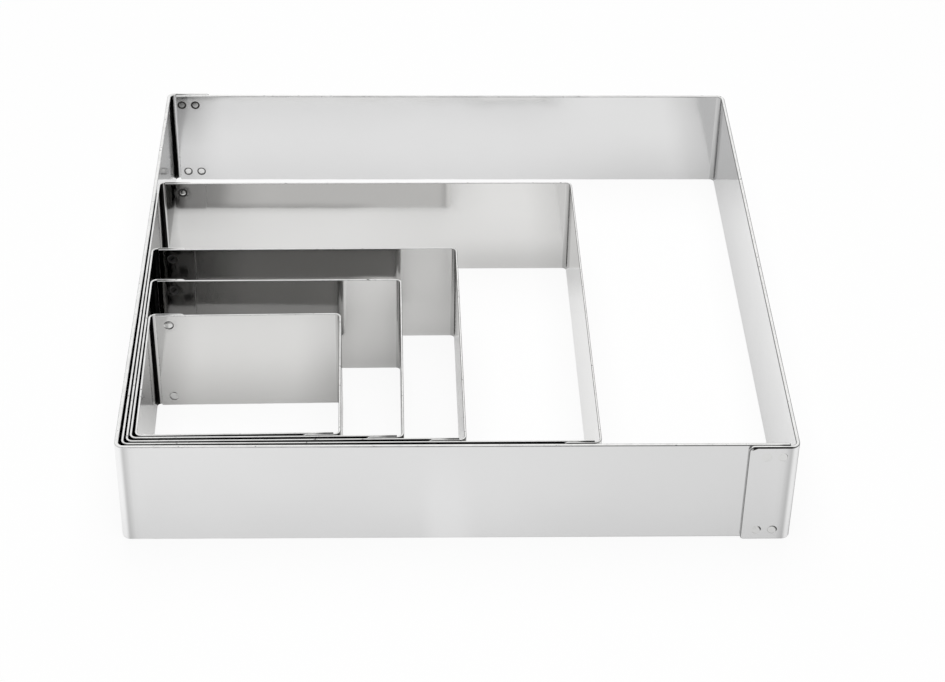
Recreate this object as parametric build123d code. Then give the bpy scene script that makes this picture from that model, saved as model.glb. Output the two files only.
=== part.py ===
# Nesting set of five square pastry rings, stored one inside the other.
# Each ring is two equal bent strips of stainless sheet, lapped and spot welded at two corners.
# Lengths are in millimetres, angles in degrees. The outer ring is centred on the origin,
# standing on z = 0, with its front wall towards -y.
import os
from dataclasses import dataclass
from math import cos, radians, sin

from build123d import *

os.makedirs("parts", exist_ok=True)

# Every ring
ring_height = 44.0
weld_radius = 2.0
weld_dimple = 0.1
weld_to_rim = 4.5
tab_top_corner = 2.0
tab_bottom_corner = 1.2
end_to_bend = 0.1
cut_overrun = 1.0

# Sides, across the outer faces: the smallest ring, and how much each ring adds to the one it holds
smallest_ring_size = 75.0
fourth_ring_step = 25.0
third_ring_step = 24.0
second_ring_step = 51.0
outer_ring_step = 75.0
fourth_ring_size = smallest_ring_size + fourth_ring_step
third_ring_size = fourth_ring_size + third_ring_step
second_ring_size = third_ring_size + second_ring_step
outer_ring_size = second_ring_size + outer_ring_step

# Outer ring, of the thicker sheet
outer_sheet = 1.5
outer_bend_radius = 3.5
outer_tab_length = 18.8
outer_first_weld = 6.2
outer_weld_pitch = 6.0
outer_weld_stagger = 1.0

# Four inner rings, of the thinner sheet
inner_sheet = 0.8
inner_bend_radius = 2.6
inner_tab_length = 13.0
second_ring_weld_to_end = 3.0
third_ring_weld_to_end = 4.8
fourth_ring_weld_to_end = 3.6
smallest_ring_weld_to_end = 5.4

# How each ring stands in the one around it: free space at the front wall and at the left wall
nest_front_gap = 0.3
second_ring_left_gap = 0.4
third_ring_left_gap = 0.3
fourth_ring_left_gap = 0.45
smallest_ring_left_gap = 0.3
second_ring_turn = 0.2
third_ring_turn = 0.4
fourth_ring_turn = 0.4
smallest_ring_turn = 0.95


@dataclass
class Ring:
    """One square frame, with size measured across the outer faces of its walls."""

    name: str
    size: float
    sheet: float
    bend_radius: float
    tab_length: float
    weld_columns: list
    weld_stagger: float = 0
    left_gap: float = 0
    turn: float = 0


def inner_ring(name, size, weld_to_end, left_gap, turn):
    """A ring of the thinner sheet, with one column of welds in each lap, set from the tab's end."""
    return Ring(name, size, inner_sheet, inner_bend_radius, inner_tab_length,
                [inner_tab_length - weld_to_end], left_gap=left_gap, turn=turn)


outer_weld_columns = [outer_first_weld, outer_first_weld + outer_weld_pitch]
rings = [
    Ring("outer_ring", outer_ring_size, outer_sheet, outer_bend_radius, outer_tab_length,
         outer_weld_columns, outer_weld_stagger),
    inner_ring("second_ring", second_ring_size, second_ring_weld_to_end,
               second_ring_left_gap, second_ring_turn),
    inner_ring("third_ring", third_ring_size, third_ring_weld_to_end,
               third_ring_left_gap, third_ring_turn),
    inner_ring("fourth_ring", fourth_ring_size, fourth_ring_weld_to_end,
               fourth_ring_left_gap, fourth_ring_turn),
    inner_ring("smallest_ring", smallest_ring_size, smallest_ring_weld_to_end,
               smallest_ring_left_gap, smallest_ring_turn),
]


# A ring's two strips, and its two laps, are a half turn apart; the welds lie across the sheets
half_turn = Rotation(0, 0, 180)
across = Rotation(90, 0, 0)


def strip_plan(ring):
    """Plan of a strip: front wall from its free end, left wall, and the tab behind the back wall."""
    half = ring.size / 2
    inside_radius = ring.bend_radius - ring.sheet
    free_end = half - ring.bend_radius - end_to_bend
    tab_end = ring.tab_length - half
    with BuildSketch() as plan:
        with BuildLine():
            outside = FilletPolyline(
                (free_end, -half), (-half, -half),
                (-half, half + ring.sheet), (tab_end, half + ring.sheet),
                radius=ring.bend_radius)
            inside = FilletPolyline(
                (free_end, ring.sheet - half), (ring.sheet - half, ring.sheet - half),
                (ring.sheet - half, half), (tab_end, half),
                radius=inside_radius)
            Line(outside @ 0, inside @ 0)
            Line(outside @ 1, inside @ 1)
        make_face()
    return plan.sketch


def weld_centres(ring):
    """Middles of the welds in the back left lap, on the plane where the two sheets meet."""
    half = ring.size / 2
    centres = []
    for column in ring.weld_columns:
        centres.append(Vector(column - half, half, ring_height - weld_to_rim))
        centres.append(Vector(column + ring.weld_stagger - half, half, weld_to_rim))
    return centres


def weld_cylinders(ring, length):
    """Cylinders across the back left lap, one at each weld."""
    return [Pos(centre) * across * Cylinder(weld_radius, length) for centre in weld_centres(ring)]


def tab_end_edges(strip, ring):
    """Edges across the sheet at the free end of the tab."""
    half = ring.size / 2
    return strip.edges().filter_by(Axis.Y).filter_by_position(Axis.Y, half, half + ring.sheet)


def front_left_strip(ring):
    """Strip with its rounded tab corners, pierced at the welds of both laps."""
    strip = extrude(strip_plan(ring), ring_height)
    for rim, radius in ((-1, tab_top_corner), (0, tab_bottom_corner)):
        strip = fillet(tab_end_edges(strip, ring).group_by(Axis.Z)[rim], radius)
    for hole in weld_cylinders(ring, 2 * (ring.sheet + cut_overrun)):
        strip -= hole
        strip -= half_turn * hole
    return strip


def welds(ring):
    """Weld nuggets of the back left lap, each a little below the two faces it shows on."""
    return weld_cylinders(ring, 2 * (ring.sheet - weld_dimple))


def corner_in_next(ring, around):
    """Front left corner of a ring, seen from the front left corner of the ring around it."""
    lean = radians(ring.turn - around.turn)
    back_left = -(ring.size + ring.sheet) * sin(lean)
    tab_start = (ring.size - ring.tab_length) * sin(lean) - ring.sheet * cos(lean)
    tab_finish = ring.size * sin(lean) - ring.sheet * cos(lean)
    x = around.sheet + ring.left_gap - min(0, back_left)
    y = around.sheet + nest_front_gap - min(0, tab_start, tab_finish)
    return Vector(x, y, 0)


def ring_places():
    """Place and turn of each ring's middle, worked inwards from the outer ring."""
    places = [Location()]
    corner = Vector(-outer_ring_size / 2, -outer_ring_size / 2, 0)
    for around, ring in zip(rings, rings[1:]):
        corner += corner_in_next(ring, around).rotate(Axis.Z, around.turn)
        middle = corner + Vector(ring.size / 2, ring.size / 2, 0).rotate(Axis.Z, ring.turn)
        places.append(Location(middle, (0, 0, ring.turn)))
    return places


def save(name, shape):
    """Write one node's solids."""
    export_step(shape, f"parts/{name}.step")


for ring, place in zip(rings, ring_places()):
    strip = front_left_strip(ring)
    nuggets = welds(ring)
    save(f"{ring.name}_front_left_strip", place * strip)
    save(f"{ring.name}_rear_right_strip", place * half_turn * strip)
    save(f"{ring.name}_rear_left_welds", Compound(children=[place * nugget for nugget in nuggets]))
    save(f"{ring.name}_front_right_welds",
         Compound(children=[place * half_turn * nugget for nugget in nuggets]))
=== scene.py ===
# Looks of a nesting set of five square pastry rings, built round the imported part.
import math

import bmesh
import bpy
from mathutils import Matrix, Vector


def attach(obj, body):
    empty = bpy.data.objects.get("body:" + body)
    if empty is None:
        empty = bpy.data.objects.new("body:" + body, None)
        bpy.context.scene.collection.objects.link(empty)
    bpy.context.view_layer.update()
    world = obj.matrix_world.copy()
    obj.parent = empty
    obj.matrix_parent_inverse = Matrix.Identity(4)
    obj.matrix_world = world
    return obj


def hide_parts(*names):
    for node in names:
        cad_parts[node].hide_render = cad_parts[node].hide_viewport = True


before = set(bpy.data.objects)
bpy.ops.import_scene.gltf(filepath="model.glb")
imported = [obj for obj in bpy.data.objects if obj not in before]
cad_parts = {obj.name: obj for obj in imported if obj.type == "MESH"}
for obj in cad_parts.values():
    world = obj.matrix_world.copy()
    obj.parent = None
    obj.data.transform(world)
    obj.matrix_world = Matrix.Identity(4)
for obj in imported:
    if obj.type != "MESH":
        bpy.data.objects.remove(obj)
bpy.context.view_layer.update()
scene = bpy.context.scene
scene.view_settings.view_transform = "Standard"


# Camera
# A long lens looks down on the nest from in front, a little left of its middle.
# The swing to the right, the dip and the roll are in degrees.
camera_swing = -2.21
camera_dip = 36.543
camera_roll = 1.181
camera_data = bpy.data.cameras.new("camera")
camera_data.sensor_width = 36
camera_data.lens = 88.6
camera_data.clip_start = 0.05
camera_data.clip_end = 50
camera = bpy.data.objects.new("camera", camera_data)
scene.collection.objects.link(camera)
camera.rotation_euler = (
    Matrix.Rotation(math.radians(camera_swing), 3, "Z")
    @ Matrix.Rotation(math.radians(90 - camera_dip), 3, "X")
    @ Matrix.Rotation(math.radians(camera_roll), 3, "Z")
).to_euler()
camera.location = (-0.02102, -0.78071, 0.57802)
scene.camera = camera


# Outer ring, its two bent strips
# Polished stainless sheet, 1.5 mm, guillotined into two equal strips, each folded at two corners.
# The fold past the second corner is a short tab outside the next wall, spot welded to it.
mm = 0.001
wall_height = 44 * mm
tab_top_corner = 2 * mm
tab_bottom_corner = 1.2 * mm
end_to_bend = 0.1 * mm
press_reach = 4 * mm
weld_radius = 2 * mm
weld_to_rim = 4.5 * mm


class Ring:
    """Sizes of one ring, across the outer faces, and the place of its front left corner."""

    def __init__(self, name, size, sheet, bend, tab, rim, corner, turn, weld_columns, stagger=0):
        self.name = name
        self.size = size * mm
        self.sheet = sheet * mm
        self.bend = bend * mm
        self.tab = tab * mm
        self.rim = rim * mm
        self.corner = Vector((*corner, 0)) * mm
        self.turn = math.radians(turn)
        self.weld_columns = [column * mm for column in weld_columns]
        self.stagger = stagger * mm
        self.second_fold = self.size + self.sheet - self.bend
        self.fold_centreline = self.bend - self.sheet / 2

    def place(self):
        """From the ring's own frame, with that corner at zero, to its place on the worktop."""
        return Matrix.Translation(self.corner) @ Matrix.Rotation(self.turn, 4, "Z")

    def half_turn(self):
        """Carries a strip or a lap to the opposite corner of the ring."""
        middle = Matrix.Translation((self.size / 2, self.size / 2, 0))
        return middle @ Matrix.Rotation(math.pi, 4, "Z") @ middle.inverted()

    def laps(self):
        """Brings what is made for the back left lap to each of the two laps."""
        return Matrix.Identity(4), self.half_turn()

    def lap_welds(self):
        """Middles of the welds in the back left lap, between the two sheets."""
        spots = []
        for column in self.weld_columns:
            spots.append(Vector((column, self.size, wall_height - weld_to_rim)))
            spots.append(Vector((column + self.stagger, self.size, weld_to_rim)))
        return spots

    def weld_places(self):
        """Middles of all the welds of the ring, where they lie on the worktop."""
        return [tuple(self.place() @ lap @ spot) for lap in self.laps() for spot in self.lap_welds()]


def of_kind(parts, kind):
    """Those of a bmesh operator's results that are verts, or edges."""
    return [part for part in parts if isinstance(part, kind)]


def draw_out(bm, loop, move):
    """Draws the open end of the sheet on by a straight run."""
    made = bmesh.ops.extrude_edge_only(bm, edges=loop)["geom"]
    end = of_kind(made, bmesh.types.BMVert)
    bmesh.ops.translate(bm, verts=end, vec=move)
    return [edge for edge in of_kind(made, bmesh.types.BMEdge) if set(edge.verts) <= set(end)]


def fold_on(bm, loop, centre):
    """Folds the open end of the sheet on round a quarter turn, clockwise from above."""
    verts = list({vert for edge in loop for vert in edge.verts})
    made = bmesh.ops.spin(
        bm, geom=verts + loop, cent=centre, axis=(0, 0, -1), angle=math.pi / 2, steps=16,
        use_merge=False,
    )["geom_last"]
    return of_kind(made, bmesh.types.BMEdge)


def across_tab_end(ring, edge, height, touching=1e-6):
    """Whether an edge runs through the sheet at the end of the tab, at this height."""
    a, b = (vert.co for vert in edge.verts)
    at_end = min(a.x, b.x) > ring.tab - touching and min(a.y, b.y) > ring.size - touching
    return at_end and max(abs(a.z - height), abs(b.z - height)) < touching


def folded_strip(ring):
    """Front wall from its free end, left wall and tab, with rounded tab corners and dulled edges.
    Its faces have material 0, the cut rims and end 1 and the dulled edges 2."""
    bm = bmesh.new()
    free_end = ring.size - ring.bend - end_to_bend
    section = [
        bm.verts.new((free_end, y, z))
        for y, z in ((0, 0), (ring.sheet, 0), (ring.sheet, wall_height), (0, wall_height))
    ]
    loop = [bm.edges.new((section[i], section[i - 1])) for i in range(4)]
    loop = draw_out(bm, loop, (ring.bend + press_reach - free_end, 0, 0))
    loop = draw_out(bm, loop, (-press_reach, 0, 0))
    loop = fold_on(bm, loop, (ring.bend, ring.bend, 0))
    between_folds = ring.second_fold - ring.bend
    for length in (press_reach, between_folds - 2 * press_reach, press_reach):
        loop = draw_out(bm, loop, (0, length, 0))
    loop = fold_on(bm, loop, (ring.bend, ring.second_fold, 0))
    for length in (press_reach, ring.tab - ring.bend - press_reach):
        loop = draw_out(bm, loop, (length, 0, 0))
    bmesh.ops.holes_fill(bm, edges=bm.edges[:], sides=4)
    bmesh.ops.recalc_face_normals(bm, faces=bm.faces[:])
    for height, radius in ((wall_height, tab_top_corner), (0, tab_bottom_corner)):
        corner = [edge for edge in bm.edges if across_tab_end(ring, edge, height)]
        bmesh.ops.bevel(
            bm, geom=corner, offset=radius, segments=8, affect="EDGES", profile=0.5, material=-1,
            offset_type="OFFSET",
        )
    nearly_none = 0.01
    for face in bm.faces:
        on_rim = abs(face.normal.z) > nearly_none
        on_end = abs(face.normal.y) < nearly_none and face.calc_center_median().x > ring.bend
        if on_rim or on_end:
            face.material_index = 1
    sharp_angle = math.radians(60)
    sharp = [edge for edge in bm.edges if edge.calc_face_angle(0) > sharp_angle]
    dulled = bmesh.ops.bevel(
        bm, geom=sharp, offset=ring.rim, segments=3, affect="EDGES", profile=0.5, material=-1,
        offset_type="OFFSET", clamp_overlap=False,
    )["faces"]
    for face in dulled:
        face.material_index = 2
    return bm


def linked_object(name, bm):
    """Turns a finished bmesh into an object at the origin."""
    mesh = bpy.data.meshes.new(name)
    bm.to_mesh(mesh)
    bm.free()
    made = bpy.data.objects.new(name, mesh)
    scene.collection.objects.link(made)
    return made


def weld_cutter(ring):
    """Round bars through both laps of a ring, where the strips are pierced for the welds."""
    bm = bmesh.new()
    across = Matrix.Rotation(math.pi / 2, 4, "X")
    for spot in ring.lap_welds():
        for lap in ring.laps():
            bmesh.ops.create_cone(
                bm, cap_ends=True, segments=48, radius1=weld_radius, radius2=weld_radius,
                depth=4 * ring.sheet, matrix=ring.place() @ lap @ Matrix.Translation(spot) @ across,
            )
    return linked_object("weld_cutter", bm)


def pierce(piece, cutter):
    """Cuts the weld seats out of a strip and shades its walls flat and its folds round."""
    seats = piece.modifiers.new("weld_seats", "BOOLEAN")
    seats.operation = "DIFFERENCE"
    seats.solver = "EXACT"
    seats.object = cutter
    whole = piece.data
    pierced = piece.evaluated_get(bpy.context.evaluated_depsgraph_get())
    piece.data = bpy.data.meshes.new_from_object(pierced)
    piece.modifiers.clear()
    bpy.data.meshes.remove(whole)
    piece.data.name = piece.name
    piece.data.shade_smooth()
    piece.data.set_sharp_from_angle(angle=math.radians(40))
    even = piece.modifiers.new("flat_walls", "WEIGHTED_NORMAL")
    even.keep_sharp = True
    even.weight = 100


# Each point of a strip keeps where it lies, for the materials: in a fold, in the pocket behind the
# lap, or on the lap itself. All of this is worked in the ring's own frame.
slack = 0.1 * mm
# Shares of painted shade round the first fold of the fourth and smallest ring.
first_fold_shade_shares = {"fourth_ring": 0.25, "smallest_ring": 0.6}
brink_degrees = 45


def fold_share(ring, point):
    """How far a point of the outer face lies into a fold: 1 halfway round, 0 where the wall starts,
    down to -1 where the press mark on the wall ends. The inner face has -1, down to -2 in a fold."""
    share = -1
    for middle, toward in ((ring.bend, -1), (ring.second_fold, 1)):
        left, past = ring.bend - point.x, toward * (point.y - middle)
        if min(left, past) >= 0:
            into = 1 - abs(4 * math.atan2(past, left) / math.pi - 1)
            return into if math.hypot(left, past) > ring.fold_centreline else -1 - into
        if max(left, past) > ring.fold_centreline:
            share = max(share, min(left, past) / press_reach)
    return share


def brink_shade_share(ring, point):
    """Share of painted shade on the outer face: 1 where the left wall goes over into the second fold,
    a smaller share all round the first fold of the two smallest rings, 0 away from there."""
    left, before = ring.bend - point.x, ring.bend - point.y
    if min(left, before) > slack and math.hypot(left, before) > ring.fold_centreline:
        return first_fold_shade_shares.get(ring.name, 0)
    past = point.y - ring.second_fold
    if left < 0 or math.hypot(left, max(past, 0)) < ring.fold_centreline:
        return 0
    if past > 0:
        return max(0, 1 - math.degrees(math.atan2(past, left)) / brink_degrees)
    return max(0, 1 + past / press_reach)


def pocket_share(ring, point):
    """How far a point lies into the pocket behind the lap: 0 on the wall, 1 from the tab's start on."""
    left, past = ring.bend - point.x, point.y - ring.second_fold
    if past <= 0:
        return 0
    if left <= 0:
        return 1 if point.y < ring.size + ring.sheet / 2 else 0
    if math.hypot(left, past) > ring.fold_centreline:
        return 0
    return 2 * math.atan2(past, left) / math.pi


def lapped_share(ring, point):
    """1 on the inner face of the front wall, where the other strip's tab is welded on behind it."""
    return 1 if ring.sheet / 2 < point.y < ring.size / 2 else 0


def on_tab(ring, point):
    """Whether a point lies on the flat of the tab."""
    return point.y > ring.size - slack and point.x > ring.bend - slack


def off_seam(ring, point):
    """Distance from the face where tab and wall meet, on the flats of the tab and the front wall.
    Elsewhere it is 1, a metre, which is far from any seam."""
    if on_tab(ring, point):
        return point.y - ring.size
    on_front_wall = point.y < ring.sheet + slack and point.x > ring.bend - slack
    return point.y if on_front_wall else 1


def from_corner(ring, point):
    """Distance along a lap from the corner where its tab is folded round."""
    return point.x if on_tab(ring, point) else ring.size - point.x


def mark_points(mesh, ring, place):
    """Keeps these shares and distances on every point of a pierced strip."""
    own_frame = place.inverted()
    for name, measure in (
        ("fold", fold_share), ("brink_shade", brink_shade_share), ("pocket", pocket_share),
        ("lapped", lapped_share), ("off_seam", off_seam), ("from_corner", from_corner),
    ):
        marked = mesh.attributes.new(name, "FLOAT", "POINT")
        marked.data.foreach_set("value", [measure(ring, own_frame @ vert.co) for vert in mesh.vertices])


def add_node(tree, kind, inputs=None, **settings):
    """Adds a node, sets its own settings and fills or links its sockets."""
    made = tree.nodes.new(kind)
    for key, value in settings.items():
        setattr(made, key, value)
    for key, value in (inputs or {}).items():
        if isinstance(value, bpy.types.NodeSocket):
            tree.links.new(value, made.inputs[key])
        else:
            made.inputs[key].default_value = value
    return made


def plain_material(name):
    """A material whose tree holds only its shader and its output."""
    material = bpy.data.materials.new(name)
    material.use_nodes = True
    tree = material.node_tree
    return material, tree, tree.nodes["Principled BSDF"]


def bare_metal(name):
    """A plain material for bare metal."""
    material, tree, shader = plain_material(name)
    shader.inputs["Metallic"].default_value = 1.0
    return material, tree, shader


def object_point(tree):
    """The point on the object, in metres from the middle of the nest at its foot."""
    return add_node(tree, "ShaderNodeTexCoord").outputs["Object"]


def axes(tree, point):
    """How far right, back and up a point lies."""
    parts = add_node(tree, "ShaderNodeSeparateXYZ", {0: point})
    return [parts.outputs[axis] for axis in "XYZ"]


def stored(tree, name):
    """One of the shares and distances kept on the points."""
    return add_node(tree, "ShaderNodeAttribute", attribute_name=name).outputs["Fac"]


def scaled(tree, point, scale):
    """A point with each axis stretched by its own factor."""
    return add_node(tree, "ShaderNodeMapping", {"Vector": point, "Scale": scale}).outputs[0]


def spread(tree, value, start, end, at_start=0.0, at_end=1.0, smooth=False):
    """Maps a value from one range to another, held at its ends."""
    return add_node(
        tree, "ShaderNodeMapRange",
        {"Value": value, "From Min": start, "From Max": end, "To Min": at_start, "To Max": at_end},
        interpolation_type="SMOOTHSTEP" if smooth else "LINEAR",
    ).outputs[0]


def fade(tree, value, start, end, smooth=False):
    """1 up to the start of a range, down to 0 at its end."""
    return spread(tree, value, start, end, 1.0, 0.0, smooth)


def calculate(tree, operation, first, second, third=None):
    """One step of arithmetic on node values."""
    inputs = {0: first, 1: second}
    if third is not None:
        inputs[2] = third
    return add_node(tree, "ShaderNodeMath", inputs, operation=operation).outputs[0]


def product(tree, first, *others):
    """All these values multiplied together."""
    for other in others:
        first = calculate(tree, "MULTIPLY", first, other)
    return first


def nearest_gap(tree, point, spots):
    """Distance from a point to the nearest of these spots."""
    nearest = None
    for spot in spots:
        gap = add_node(tree, "ShaderNodeVectorMath", {0: point, 1: spot}, operation="DISTANCE")
        gap = gap.outputs["Value"]
        nearest = gap if nearest is None else calculate(tree, "MINIMUM", nearest, gap)
    return nearest


def noise(tree, point, scale, detail=2.0, rough=0.5):
    """Uneven values round 0.5, with patches of about one over the scale, in metres."""
    inputs = {"Vector": point, "Scale": scale, "Detail": detail, "Roughness": rough}
    return add_node(tree, "ShaderNodeTexNoise", inputs).outputs["Fac"]


def tint(tree, share, shade, under):
    """Lays a shade over another colour, by a share of 0 to 1."""
    mix = add_node(tree, "ShaderNodeMix", data_type="RGBA")
    for key, value in (("Factor", share), ("A", under), ("B", shade)):
        if isinstance(value, bpy.types.NodeSocket):
            tree.links.new(value, mix.inputs[key])
        else:
            mix.inputs[key].default_value = (*value, 1) if key != "Factor" else value
    return mix.outputs["Result"]


def grey_ramp(tree, value, levels):
    """Turns a value of 0 to 1 into a grey, by the level at each position from 0 to 1."""
    ramp = add_node(tree, "ShaderNodeValToRGB", {"Fac": value})
    steps = ramp.color_ramp.elements
    for position, level in levels:
        if position in (0, 1):
            step = steps[0] if position == 0 else steps[-1]
        else:
            step = steps.new(position)
        step.color = (level, level, level, 1)
    return ramp.outputs["Color"]


def bump(tree, height, depth, strength=1.0, under=None):
    """The direction that the face has with these heights on it, over another bump if there is one."""
    inputs = {"Height": height, "Strength": strength, "Distance": depth}
    if under is not None:
        inputs["Normal"] = under
    return add_node(tree, "ShaderNodeBump", inputs).outputs[0]


def pocket_shade(tree, point, at_foot, at_rim):
    """Painted shade: 1 in the slot between the left wall and the free end of the inner sheet, up to
    these shares, where the colour is darkened to near black.
    """
    height = axes(tree, point)[2]
    depth = stored(tree, "pocket")
    filled = spread(tree, height, 0.0, wall_height, at_start=at_foot, at_end=at_rim)
    past = calculate(tree, "SUBTRACT", depth, filled)
    begins = spread(tree, depth, 0.0, 0.05, smooth=True)
    ends = fade(tree, past, 0.0, 0.06, smooth=True)
    return product(tree, begins, ends)


def corner_smoke_and_shade(tree, point, ring, reach, thick, haze, at_foot, elsewhere):
    """Smoke from welding round the two lapped corners, with painted shade there, thick within this
    reach, a haze to five times as far, and only these shares of it near the foot and on all but the
    lapped face."""
    inner_corner = Vector((ring.sheet, ring.size - ring.sheet, 0))
    corners = [tuple(ring.place() @ lap @ inner_corner) for lap in ring.laps()]
    gap = nearest_gap(tree, scaled(tree, point, (1.0, 1.0, 0.0)), corners)
    uneven = calculate(tree, "MULTIPLY_ADD", noise(tree, point, 120.0), 0.35 * reach, gap)
    close = spread(tree, uneven, 0.4 * reach, 1.2 * reach, at_start=thick, at_end=0.0, smooth=True)
    wide = spread(tree, uneven, reach, 5 * reach, at_start=haze, at_end=0.0, smooth=True)
    height = axes(tree, point)[2]
    low_down, high_up = 0.4 * wall_height, 0.85 * wall_height
    by_height = spread(tree, height, low_down, high_up, at_start=at_foot, at_end=1.0)
    by_face = spread(tree, stored(tree, "lapped"), 0.0, 1.0, at_start=elsewhere, at_end=1.0)
    return product(tree, calculate(tree, "MAXIMUM", close, wide), by_height, by_face)


def painted_tab_edge_shade(tree, point):
    """Painted shade: 1 along the outer top edge of the outer ring's front tab, and round its free
    corner, where a dark line is painted. The places are in metres from the middle of the nest."""
    right, back, high = axes(tree, point)
    side = fade(tree, back, -0.1260, -0.1259)
    ends = product(tree, spread(tree, right, 0.1068, 0.1078), fade(tree, right, 0.1215, 0.1238))
    lowest = spread(tree, right, 0.1074, 0.1092, at_start=0.0426, at_end=0.0435)
    top = spread(tree, calculate(tree, "SUBTRACT", high, lowest), 0.0, 0.0001)
    return product(tree, side, ends, top)


# Grey levels of the sheet, halved, by how far a point lies into a fold. Position 0 is the middle
# of a fold's inner face, a third the open wall, two thirds where a fold starts on the outer face.
# These levels paint light and shade on the folds: shade inside a fold, a darker band where a fold
# starts on the outer face from press marks and painted shade, and a highlight round the fold.
fold_light_and_shade_levels = (
    (0, 0.33), (0.24, 0.38), (0.333, 0.5), (0.5, 0.48), (0.6, 0.42), (0.667, 0.375),
    (0.72, 0.4), (0.773, 0.49), (0.827, 0.57), (0.9, 0.6), (1, 0.6),
)
heat_brown = (0.05, 0.045, 0.042)
# Weld smoke and painted shade round the lapped corners.
smoke_and_shade_brown = (0.05, 0.047, 0.045)
# Painted shade: near black for the lap pocket, the outer tab's top edge and the lap gap.
painted_shade_black = (0.012, 0.012, 0.012)

# Marks of rolling and handling: how many patches there are to a metre, and how deep they are.
# The roll lines are drawn out along the sheet, so they are fine only from top to bottom.
handling_scale = 42.0
wave_scale = 14.0
ripple_scale = 45.0
heat_scale = 330.0
roll_line_scales = (18.0, 18.0, 2600.0)
wave_depth = 0.18 * mm
roll_line_depth = 0.01 * mm


def polished_steel(name, ring, pale, dull, rough, ripple, stain, stain_reach, smoke_and_shade, slot_shade):
    """Bright rolled sheet: faint roll lines along it, slow waves, press marks and painted light and
    shade at the folds, handling smears, heat stain round the welds, weld smoke with painted shade
    round the lapped corners, and painted shade in the pocket behind the lap."""
    material, tree, shader = bare_metal(name)
    point = object_point(tree)
    smear = noise(tree, point, handling_scale, detail=4.0, rough=0.6)
    cloud = noise(tree, point, wave_scale)
    grain = noise(tree, scaled(tree, point, roll_line_scales), 1.0, rough=0.55)
    metal = tint(tree, spread(tree, cloud, 0.3, 0.7), pale, dull)

    # Painted light and shade along the folds, with the press marks.
    into_fold = spread(tree, stored(tree, "fold"), -2.0, 1.0)
    fold_light_and_shade = calculate(tree, "MULTIPLY", grey_ramp(tree, into_fold, fold_light_and_shade_levels), 2.0)
    # Painted shade on the outer face by the second fold and round the smallest rings' first fold.
    brink_shade = spread(tree, stored(tree, "brink_shade"), 0.1, 0.4, at_start=1.0, at_end=0.4, smooth=True)
    fold_light_and_shade = product(tree, fold_light_and_shade, brink_shade)
    metal = add_node(
        tree, "ShaderNodeVectorMath", {0: metal, 1: fold_light_and_shade}, operation="MULTIPLY"
    ).outputs[0]

    gap = nearest_gap(tree, point, ring.weld_places())
    near = fade(tree, gap, weld_radius, stain_reach, smooth=True)
    uneven = spread(tree, noise(tree, point, heat_scale, detail=3.0, rough=0.7), 0.45, 0.6)
    heat = product(tree, near, stored(tree, "lapped"), uneven, stain)
    metal = tint(tree, heat, heat_brown, metal)
    # Weld smoke with painted shade round the lapped corners.
    metal = tint(tree, corner_smoke_and_shade(tree, point, ring, **smoke_and_shade), smoke_and_shade_brown, metal)
    # Painted shade: the pocket behind the lap darkened to near black.
    painted_shade = pocket_shade(tree, point, **slot_shade)
    # Painted shade: a dark line along the top edge of the outer ring's front tab.
    if ring.name == "outer_ring":
        painted_shade = calculate(tree, "MAXIMUM", painted_shade, painted_tab_edge_shade(tree, point))
    tree.links.new(tint(tree, painted_shade, painted_shade_black, metal), shader.inputs["Base Color"])

    finish = spread(tree, smear, 0.35, 0.7, at_start=rough - 0.01, at_end=rough + 0.03)
    finish = calculate(tree, "MULTIPLY_ADD", calculate(tree, "MAXIMUM", heat, painted_shade), 0.3, finish)
    tree.links.new(finish, shader.inputs["Roughness"])
    waves = bump(tree, cloud, wave_depth)
    waves = bump(tree, noise(tree, point, ripple_scale, detail=1.0), ripple, under=waves)
    roll_lines = bump(tree, grain, roll_line_depth, strength=0.06, under=waves)
    tree.links.new(roll_lines, shader.inputs["Normal"])
    return material


def painted_lap_gap_shade(tree):
    """1 where a dark gap between the top edges of tab and wall is painted in as shade, open at the
    fold and closed at the welds."""
    along = stored(tree, "from_corner")
    width = spread(tree, along, 6 * mm, 12 * mm, at_start=0.46 * mm, at_end=0.0)
    inside = calculate(tree, "SUBTRACT", width, stored(tree, "off_seam"))
    return spread(tree, inside, 0.0, 0.08 * mm)


def cut_face(name, bright):
    """Sheared face of the sheet: uneven in tone, with a few dark specks, and painted shade along the
    outer tab's top edge and in the lap gap.
    """
    material, tree, shader = bare_metal(name)
    point = object_point(tree)
    tone = spread(tree, noise(tree, point, 160.0, detail=3.0, rough=0.6), 0.35, 0.65)
    pale = (bright, bright, bright * 0.99)
    dull = (bright * 0.88, bright * 0.88, bright * 0.87)
    metal = tint(tree, tone, pale, dull)
    specks = spread(tree, noise(tree, point, 700.0, rough=0.6), 0.66, 0.72, at_start=0.0, at_end=0.8)
    metal = tint(tree, specks, (0.05, 0.05, 0.05), metal)
    # Painted shade: the outer tab's top edge line and the gap between tab and wall.
    dark = calculate(tree, "MAXIMUM", painted_tab_edge_shade(tree, point), painted_lap_gap_shade(tree))
    tree.links.new(tint(tree, dark, painted_shade_black, metal), shader.inputs["Base Color"])
    rough = spread(tree, noise(tree, point, 900.0), 0.3, 0.7, at_start=0.12, at_end=0.24)
    tree.links.new(rough, shader.inputs["Roughness"])
    return material


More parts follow.
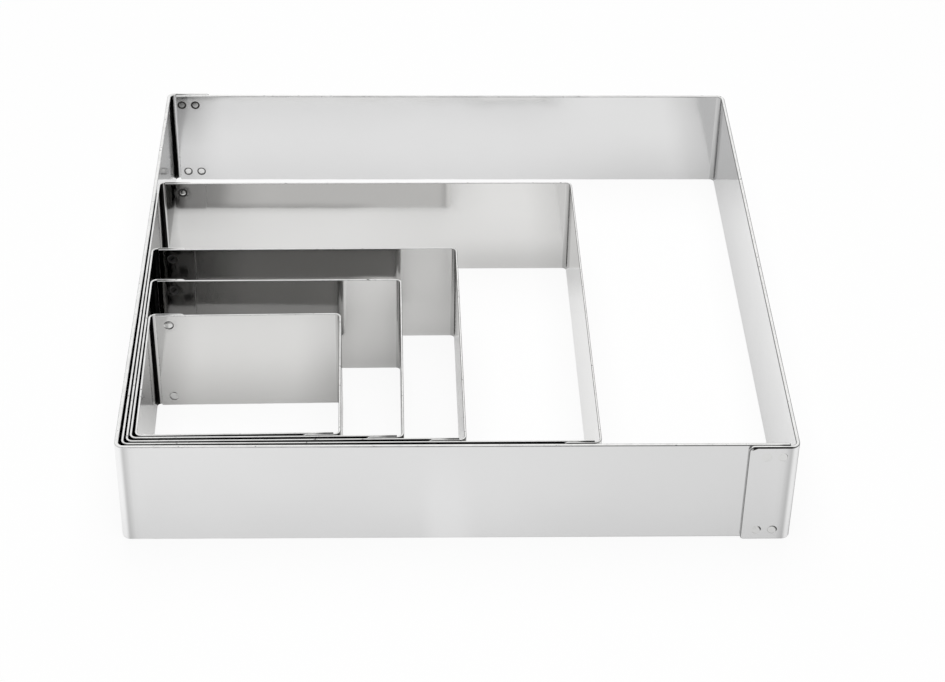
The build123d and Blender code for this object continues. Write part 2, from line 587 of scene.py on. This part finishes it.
def dulled_and_shaded_edge(name, dull, bright, right_end, most):
    """Edges rubbed dull along both sides of a cut face, uneven. Their darkening is wear together with
    painted dark reflections lining the rims, the most from this far right on and little on the back
    and left walls. Painted shade also lies along the outer tab's top edge and in the lap gap."""
    material, tree, shader = bare_metal(name)
    point = object_point(tree)
    tone = spread(tree, noise(tree, point, 75.0, detail=3.0, rough=0.65), 0.35, 0.65)
    metal = tint(tree, tone, (bright, bright, bright), (dull, dull, dull))
    # Wear with painted dark reflections: darker to the right, light on the back and left walls.
    right, back, _ = axes(tree, point)
    toward_back_left = calculate(tree, "SUBTRACT", back, right)
    by_place = spread(tree, right, -0.12, right_end, at_start=0.0, at_end=most)
    by_wall = spread(tree, toward_back_left, -0.004, 0.004, at_start=1.0, at_end=0.2)
    rubbed_and_shaded = product(tree, by_place, by_wall)
    metal = tint(tree, rubbed_and_shaded, (0.1, 0.1, 0.1), metal)
    # Painted shade: the outer tab's top edge line and the gap between tab and wall.
    dark = calculate(tree, "MAXIMUM", painted_tab_edge_shade(tree, point), painted_lap_gap_shade(tree))
    tree.links.new(tint(tree, dark, painted_shade_black, metal), shader.inputs["Base Color"])
    rough = spread(tree, noise(tree, point, 600.0), 0.3, 0.7, at_start=0.25, at_end=0.42)
    tree.links.new(rough, shader.inputs["Roughness"])
    return material


def make_strips(ring, sheet, cut, dulled):
    """Both strips of a ring, the second a half turn from the first."""
    cutter = weld_cutter(ring)
    for corner, lap in zip(("front_left", "rear_right"), ring.laps()):
        bm = folded_strip(ring)
        bm.transform(ring.place() @ lap)
        strip = linked_object(f"{ring.name}_{corner}_sheet", bm)
        for material in (sheet, cut, dulled):
            strip.data.materials.append(material)
        pierce(strip, cutter)
        mark_points(strip.data, ring, ring.place() @ lap)
        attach(strip, ring.name)
        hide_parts(f"{ring.name}_{corner}_strip")
    bpy.data.objects.remove(cutter)


outer_ring = Ring(
    "outer_ring", size=250, sheet=1.5, bend=3.5, tab=18.8, rim=0.28, corner=(-125, -125), turn=0,
    weld_columns=(6.2, 12.2), stagger=1,
)
outer_steel = polished_steel(
    "outer_sheet_steel", outer_ring, pale=(0.76, 0.76, 0.762), dull=(0.73, 0.73, 0.732),
    rough=0.08, ripple=0.22 * mm, stain=0.1, stain_reach=5 * mm,
    smoke_and_shade={"reach": 5 * mm, "thick": 0.45, "haze": 0.38, "at_foot": 0.3, "elsewhere": 0.0},
    slot_shade={"at_foot": 0.7, "at_rim": 0.56},
)
outer_cut = cut_face("outer_cut_face", 0.96)
outer_edge = dulled_and_shaded_edge("outer_dulled_shaded_edge", dull=0.6, bright=0.95, right_end=0.1, most=0.8)
make_strips(outer_ring, outer_steel, outer_cut, outer_edge)


# Four inner rings, their bent strips
# Thinner stainless sheet, 0.8 mm, cut and folded in the same way, one column of welds in each lap.
# Each stands in the front left corner of the ring around it, not quite square to it.
def inner_ring(name, size, corner, turn, weld_column):
    """A ring of the thinner sheet."""
    return Ring(
        name, size, sheet=0.8, bend=2.6, tab=14.3, rim=0.16, corner=corner, turn=turn,
        weld_columns=(weld_column,),
    )


inner_rings = [
    inner_ring("second_ring", 175, corner=(-122.486, -122.965), turn=0.2, weld_column=10.0),
    inner_ring("third_ring", 124, corner=(-120.956, -121.448), turn=0.4, weld_column=8.2),
    inner_ring("fourth_ring", 100, corner=(-119.719, -119.539), turn=0.4, weld_column=9.4),
    inner_ring("smallest_ring", 75, corner=(-117.901, -118.221), turn=0.95, weld_column=7.6),
]
inner_cut = cut_face("inner_cut_face", 0.95)
inner_edge = dulled_and_shaded_edge("inner_dulled_shaded_edge", dull=0.6, bright=0.95, right_end=-0.02, most=0.97)

# Stain, smoke with painted shade, and painted pocket shade: the third and fourth ring are smoked
# and shaded all over and their pockets painted dark in full
fully_smoked_and_shaded = (
    0.85,
    {"reach": 8 * mm, "thick": 0.7, "haze": 0.32, "at_foot": 1.0, "elsewhere": 1.0},
    {"at_foot": 2.0, "at_rim": 2.0},
)
corner_looks = (
    (
        0.85,
        {"reach": 10 * mm, "thick": 0.65, "haze": 0.27, "at_foot": 0.45, "elsewhere": 0.0},
        {"at_foot": 0.84, "at_rim": 0.7},
    ),
    fully_smoked_and_shaded,
    fully_smoked_and_shaded,
    (
        0.1,
        {"reach": 4 * mm, "thick": 0.15, "haze": 0.1, "at_foot": 1.0, "elsewhere": 0.0},
        {"at_foot": 0.7, "at_rim": 0.56},
    ),
)
for ring, (stain, smoke_and_shade, slot_shade) in zip(inner_rings, corner_looks):
    inner_steel = polished_steel(
        f"{ring.name}_steel", ring, pale=(0.745, 0.742, 0.735), dull=(0.72, 0.716, 0.707),
        rough=0.055, ripple=0.03 * mm, stain=stain, stain_reach=4.6 * mm, smoke_and_shade=smoke_and_shade,
        slot_shade=slot_shade,
    )
    make_strips(ring, inner_steel, inner_cut, inner_edge)


# Spot weld marks
# Where the electrodes pinched the two sheets together: round dents 4 mm across in both faces,
# with a dished ring near the rim, a low crown in the middle, and burnt dull grey.
# The outline has distances from the middle and depths below the sheet, in millimetres.
mark_outline = (
    (0, 0.05), (0.7, 0.06), (1.15, 0.09), (1.45, 0.15), (1.7, 0.16), (1.88, 0.09), (2.0, 0.03),
)
tab_dent = 0.45
smoked_and_shaded_rings = ("third_ring", "fourth_ring")


def burnt_share(ring, spot, tab_side):
    """How burnt the rim of a weld's face is, paler on the upper tab marks and the smallest ring."""
    upper = spot.z > wall_height / 2
    if tab_side:
        return 0.65 if upper else 1.1
    if ring.name == "smallest_ring":
        return 0.7
    return 0.78 if ring.name == "outer_ring" and not upper else 1.0


def weld_marks(ring, lap):
    """Closed round nuggets through a lap, dented less on the tab than on the wall behind it, burnt
    and smoked by how far out a point lies and where on the two diagonals, with painted shade on one
    side of the tab marks and the smoke's painted shade on the wall marks."""
    bm = bmesh.new()
    from_middle = bm.verts.layers.float.new("from_middle")
    burn_and_side_shade = bm.verts.layers.float.new("burn_and_side_shade")
    smoked_and_shaded = bm.verts.layers.float.new("smoked_and_shaded")
    outline = [(out * mm, ring.sheet - depth * mm) for out, depth in mark_outline]
    outline += [(out * mm, tab_dent * depth * mm - ring.sheet) for out, depth in reversed(mark_outline)]
    points = [bm.verts.new((out, 0, height)) for out, height in outline]
    edges = [bm.edges.new(pair) for pair in zip(points, points[1:])]
    bmesh.ops.spin(
        bm, geom=points + edges, cent=(0, 0, 0), axis=(0, 0, 1), angle=2 * math.pi, steps=40,
        use_merge=True,
    )
    bmesh.ops.remove_doubles(bm, verts=bm.verts[:], dist=0.002 * mm)
    for vert in bm.verts:
        wall_side = vert.co.z > 0
        vert[from_middle] = vert.co.xy.length / weld_radius
        along = (vert.co.x + vert.co.y) / (1.4 * weld_radius)
        aslant = (vert.co.y - vert.co.x) / (1.4 * weld_radius)
        # Painted shade: the tab marks are darker on one diagonal side.
        vert[burn_and_side_shade] = 1.0 if wall_side else 0.3 + 0.5 * max(0, aslant)
        # Smoke with painted shade on the wall side of the third and fourth ring's marks.
        if wall_side and ring.name in smoked_and_shaded_rings:
            vert[burn_and_side_shade] = 0.3
            vert[smoked_and_shaded] = min(0.97, max(0.8, 1.3 - math.hypot(0.9 * along, 1.8 * aslant)))
        elif ring.name == "third_ring":
            vert[smoked_and_shaded] = 0.3
    pattern = bm.verts[:] + bm.edges[:] + bm.faces[:]
    for spot in ring.lap_welds():
        copied = of_kind(bmesh.ops.duplicate(bm, geom=pattern)["geom"], bmesh.types.BMVert)
        for vert in copied:
            # The outer ring's upper wall marks take smoke with painted shade as well.
            if ring.name == "outer_ring" and spot.z > wall_height / 2 and vert.co.z > 0:
                vert[smoked_and_shaded] = 0.6 if spot.x < 8 * mm else 0.4
            vert[burn_and_side_shade] *= burnt_share(ring, spot, vert.co.z < 0)
        across = Matrix.Translation(spot) @ Matrix.Rotation(math.pi / 2, 4, "X")
        bmesh.ops.transform(bm, verts=copied, matrix=across)
    bmesh.ops.delete(bm, geom=of_kind(pattern, bmesh.types.BMVert), context="VERTS")
    bmesh.ops.recalc_face_normals(bm, faces=bm.faces[:])
    bm.transform(ring.place() @ lap)
    return bm


def burnt_steel():
    """Pressed bright metal with a thin burnt ring near its rim, broken and uneven, fainter on tabs,
    darkened on one side of the tab marks as painted shade and by the smoke and painted shade kept on
    its points.
    """
    material, tree, shader = bare_metal("weld_mark_steel")
    point = object_point(tree)
    burn_and_side_shade = stored(tree, "burn_and_side_shade")
    patch = noise(tree, point, 420.0, detail=3.0, rough=0.6)
    broad = noise(tree, point, 170.0)
    soot_ring = 0.84
    wander = spread(tree, patch, 0.3, 0.7, at_start=-0.5, at_end=0.5)
    wander = calculate(tree, "MULTIPLY_ADD", wander, 0.14, stored(tree, "from_middle"))
    off_ring = calculate(tree, "ABSOLUTE", calculate(tree, "SUBTRACT", wander, soot_ring), 0.0)
    half_width = spread(tree, burn_and_side_shade, 0.3, 1.0, at_start=0.02, at_end=0.23)
    soot = spread(tree, calculate(tree, "SUBTRACT", half_width, off_ring), -0.04, 0.05, smooth=True)
    arcs_from = spread(tree, burn_and_side_shade, 0.0, 1.0, at_start=0.62, at_end=0.2)
    arcs = spread(tree, calculate(tree, "SUBTRACT", broad, arcs_from), 0.0, 0.1)
    spots = product(tree, spread(tree, patch, 0.56, 0.66), calculate(tree, "MULTIPLY", burn_and_side_shade, 0.3))
    film = calculate(tree, "MAXIMUM", product(tree, soot, arcs), spots)
    film = product(tree, film, spread(tree, burn_and_side_shade, 0.3, 1.0, at_start=0.65, at_end=0.96))
    film = calculate(tree, "MAXIMUM", film, stored(tree, "smoked_and_shaded"))
    burnt, bare = (0.02, 0.019, 0.018), (0.74, 0.74, 0.735)
    tree.links.new(tint(tree, film, burnt, bare), shader.inputs["Base Color"])
    tree.links.new(calculate(tree, "MULTIPLY_ADD", film, 0.3, 0.1), shader.inputs["Roughness"])
    pits = bump(tree, patch, 0.05 * mm, strength=0.35)
    tree.links.new(pits, shader.inputs["Normal"])
    return material


weld_steel = burnt_steel()
for ring in [outer_ring, *inner_rings]:
    for corner, lap in zip(("rear_left", "front_right"), ring.laps()):
        marks = linked_object(f"{ring.name}_{corner}_weld_marks", weld_marks(ring, lap))
        marks.data.shade_smooth()
        marks.data.set_sharp_from_angle(angle=math.radians(50))
        marks.data.materials.append(weld_steel)
        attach(marks, ring.name)
        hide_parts(f"{ring.name}_{corner}_welds")


# Worktop
# A wide matt white sheet under the rings. Seen directly it is nearly white all over, with the
# rings' faint shade left on it. In the metal it is mixed with an even white, by how far right of
# and behind the middle of the nest it lies, in metres, so that each wall shows its own greys: light
# and shade painted onto the worktop where the metal mirrors it.
def blend(tree, share, under, over):
    """Goes from one value to another by a share of 0 to 1."""
    return add_node(tree, "ShaderNodeMix", {"Factor": share, "A": under, "B": over}).outputs["Result"]


def first_share(tree, right, back, in_outer, in_second, in_third):
    """Share of even white in the first reflection."""
    past_second = spread(tree, right, 0.03, 0.09, at_start=0.7, at_end=0.42)
    past_third = spread(tree, right, -0.04, 0.02, at_start=0.8, at_end=0.5)
    within_third = spread(tree, back, -0.1, -0.055, at_start=0.58, at_end=0.1, smooth=True)
    share = blend(tree, in_second, past_second, past_third)
    share = blend(tree, in_third, share, within_third)
    share = blend(tree, in_outer, 0.6, share)
    by_right_wall = product(
        tree, spread(tree, right, -0.014, -0.008), fade(tree, back, -0.08, -0.06), in_third
    )
    share = blend(tree, by_right_wall, share, 0.8)
    by_back_wall = spread(tree, back, -0.025, -0.01, at_start=0.0, at_end=0.14)
    return calculate(tree, "ADD", share, product(tree, by_back_wall, in_third))


def first_level(tree, right, back, in_outer, in_second):
    """How bright the even white is in the first reflection, a little shaded in two places."""
    wall_shade, corner_shade = 0.16, 0.2
    by_outer_wall = product(tree, in_outer, spread(tree, right, 0.106, 0.114), wall_shade)
    in_back_corner = product(
        tree, spread(tree, back, 0.028, 0.044), spread(tree, right, -0.01, 0.01), in_second,
        corner_shade,
    )
    level = calculate(tree, "SUBTRACT", 1.0, by_outer_wall)
    return calculate(tree, "SUBTRACT", level, in_back_corner)


def second_level(tree, right, back, in_second, in_third):
    """How bright it is in the second reflection, dark in the slots and beside the left walls."""
    level = spread(tree, in_second, 0.0, 1.0, at_start=0.68, at_end=0.86)
    slots = product(
        tree, fade(tree, right, -0.042, -0.03), spread(tree, back, -0.045, -0.043), in_third
    )
    level = blend(tree, slots, level, 0.34)
    behind_second = product(
        tree, spread(tree, back, 0.05, 0.054), fade(tree, right, 0.05, 0.07),
        spread(tree, right, -0.108, -0.098),
    )
    level = blend(tree, behind_second, level, 1.3)
    in_smallest = product(
        tree, spread(tree, back, -0.085, -0.046, at_start=0.2, at_end=0.64),
        fade(tree, back, -0.045, -0.044),
    )
    behind_third = product(
        tree, spread(tree, back, 0.004, 0.006, at_start=0.0, at_end=0.24),
        fade(tree, back, 0.05, 0.052),
    )
    by_left_walls = product(
        tree, calculate(tree, "MAXIMUM", in_smallest, behind_third),
        fade(tree, right, -0.103, -0.097),
    )
    return product(tree, level, calculate(tree, "SUBTRACT", 1.0, by_left_walls))


def matt_white():
    """White paint, mixed with even white for the camera and by place for each reflection."""
    material, tree, shader = plain_material("worktop_white")
    shader.inputs["Base Color"].default_value = (0.92, 0.92, 0.915, 1)
    shader.inputs["Roughness"].default_value = 0.9
    shader.inputs["Specular IOR Level"].default_value = 0.1
    sight = add_node(tree, "ShaderNodeLightPath")
    seen = sight.outputs["Is Camera Ray"]
    twice = spread(tree, sight.outputs["Glossy Depth"], 1.0, 2.0)
    thrice = spread(tree, sight.outputs["Glossy Depth"], 2.0, 3.0)

    # 1 within the third ring, within the second, and on the inner side of the outer ring's left
    # and front walls
    right, back, _ = axes(tree, object_point(tree))
    outward = calculate(tree, "MAXIMUM", right, back)
    in_third = fade(tree, outward, 0.0, 0.008)
    in_second = fade(tree, outward, 0.05, 0.06)
    in_outer = calculate(tree, "GREATER_THAN", calculate(tree, "MINIMUM", right, back), -0.125)

    share = first_share(tree, right, back, in_outer, in_second, in_third)
    share = blend(tree, twice, share, 0.85)
    share = blend(tree, thrice, share, 0.36)
    share = product(tree, share, sight.outputs["Is Glossy Ray"])
    share = blend(tree, seen, share, 0.9)

    level = blend(
        tree, twice, first_level(tree, right, back, in_outer, in_second),
        second_level(tree, right, back, in_second, in_third),
    )
    # Painted shade: the even white dims toward the front right.
    to_front_right = calculate(tree, "SUBTRACT", right, back)
    level = product(
        tree, level, fade(tree, thrice, 0.0, 1.0),
        spread(tree, to_front_right, 0.14, 0.27, at_start=1.02, at_end=0.87),
    )
    level = blend(tree, seen, level, 1.0)

    even_white = add_node(tree, "ShaderNodeEmission", {"Strength": level})
    mixed = add_node(
        tree, "ShaderNodeMixShader", {"Fac": share, 1: shader.outputs[0], 2: even_white.outputs[0]}
    )
    tree.links.new(mixed.outputs[0], tree.nodes["Material Output"].inputs["Surface"])
    return material


below_rims = Matrix.Translation((0, 0, -0.2 * mm))
bm = bmesh.new()
bmesh.ops.create_grid(bm, x_segments=1, y_segments=1, size=6, matrix=below_rims)
worktop = linked_object("worktop", bm)
worktop.data.materials.append(matt_white())


# Studio
# A white room. In the metal it is bright all round at middle height, darker overhead and low down.
# A long soft box hangs over the nest, from the camera's side to behind it.
room_levels = ((0, 0.04), (0.12, 0.06), (0.3, 0.95), (0.74, 0.95), (0.87, 0.3), (1, 0.25))


def white_room():
    """White for the camera, even soft light for the rest, and a shaded room for reflections."""
    world = bpy.data.worlds.new("white_room")
    world.use_nodes = True
    scene.world = world
    tree = world.node_tree
    white = tree.nodes["Background"]
    white.inputs["Color"].default_value = (1, 1, 1, 1)
    white.inputs["Strength"].default_value = 1.0
    height = axes(tree, add_node(tree, "ShaderNodeTexCoord").outputs["Generated"])[2]
    walls = grey_ramp(tree, height, room_levels)
    mirrored = add_node(tree, "ShaderNodeBackground", {"Color": walls, "Strength": 1.0})
    lit = add_node(tree, "ShaderNodeBackground", {"Color": (1, 1, 1, 1), "Strength": 0.28})
    sight = add_node(tree, "ShaderNodeLightPath")
    in_metal = add_node(
        tree, "ShaderNodeMixShader",
        {"Fac": sight.outputs["Is Glossy Ray"], 1: lit.outputs[0], 2: mirrored.outputs[0]},
    )
    seen = add_node(
        tree, "ShaderNodeMixShader",
        {"Fac": sight.outputs["Is Camera Ray"], 1: in_metal.outputs[0], 2: white.outputs[0]},
    )
    tree.links.new(seen.outputs[0], tree.nodes["World Output"].inputs["Surface"])


white_room()
soft_box = bpy.data.objects.new("soft_box", bpy.data.lights.new("soft_box", "AREA"))
soft_box.data.shape = "RECTANGLE"
soft_box.data.size = 0.9
soft_box.data.size_y = 2.4
soft_box.data.energy = 18
soft_box.location = (0, 0, 1.2)
soft_box.visible_glossy = False
scene.collection.objects.link(soft_box)
